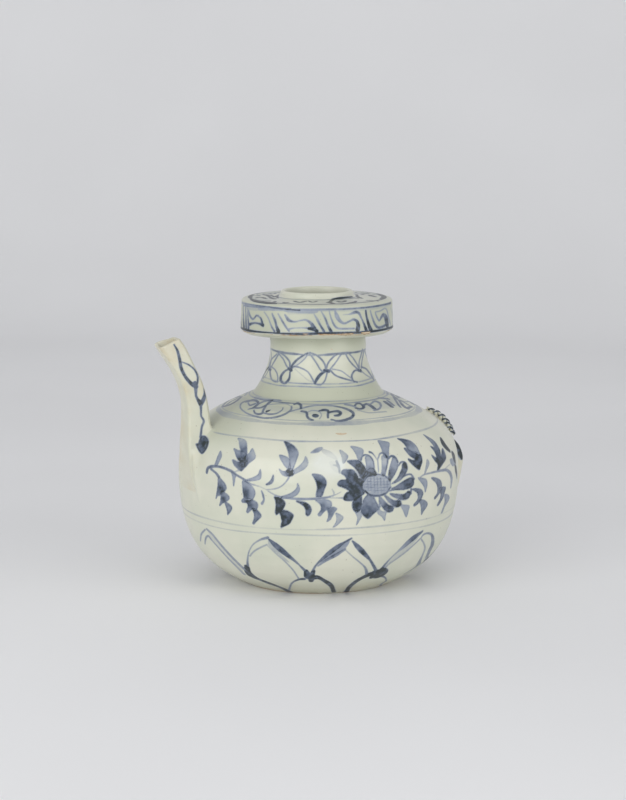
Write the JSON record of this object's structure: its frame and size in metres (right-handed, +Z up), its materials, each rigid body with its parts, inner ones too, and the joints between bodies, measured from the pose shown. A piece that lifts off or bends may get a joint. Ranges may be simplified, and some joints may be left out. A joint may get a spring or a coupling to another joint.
{
  "type": "kendi",
  "caption": "Blue-and-white porcelain pouring vessel: globular body, short neck with a hollow disc flange and raised lip, square curved spout, applied twisted ridge.",
  "frame": {"origin": "centre of the flat foot, on the axis of the turned body", "axes": "+Z up along the body's axis, -X towards the spout"},
  "size_m": [0.1602, 0.14, 0.1452],
  "materials": {
    "glazed_porcelain": "gloss greenish-white glaze over underglaze cobalt painting",
    "unglazed_slip": "matt fired slip"
  },
  "bodies": {
    "root": {"lower_body": "glazed_porcelain", "upper_body": "glazed_porcelain", "neck": "glazed_porcelain", "flange_underplate": "glazed_porcelain", "flange_cap": "glazed_porcelain", "spout_left_half": "glazed_porcelain", "spout_right_half": "glazed_porcelain", "spout_root_coil": "glazed_porcelain", "belly_slip_band": "unglazed_slip", "neck_slip_band": "unglazed_slip", "flange_slip_band": "unglazed_slip", "rope_strand_a": "glazed_porcelain", "rope_strand_b": "glazed_porcelain", "tail_roll": "glazed_porcelain"}
  },
  "joints": []
}
